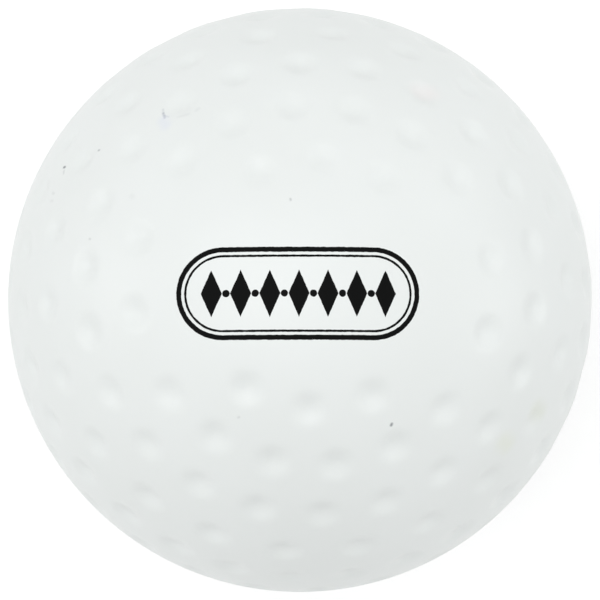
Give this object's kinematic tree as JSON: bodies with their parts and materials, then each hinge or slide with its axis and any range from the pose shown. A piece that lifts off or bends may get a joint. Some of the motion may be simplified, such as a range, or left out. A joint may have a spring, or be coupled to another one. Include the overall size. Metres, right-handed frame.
{
  "type": "field hockey ball",
  "caption": "Hard white field hockey ball with shallow round dimples in rings and a smooth oval panel on each of its two halves.",
  "frame": {"origin": "centre of the ball", "axes": "+Z from the centre through the middle of the upper smooth panel, +X along that panel's long axis; the two halves meet in the plane z = 0"},
  "size_m": [0.073, 0.073, 0.073],
  "materials": {
    "white_moulded_skin": "white moulded PVC, satin to semi-gloss, with a few small dirt specks and scuffs"
  },
  "bodies": {
    "root": {"ball": "white_moulded_skin"}
  },
  "joints": []
}
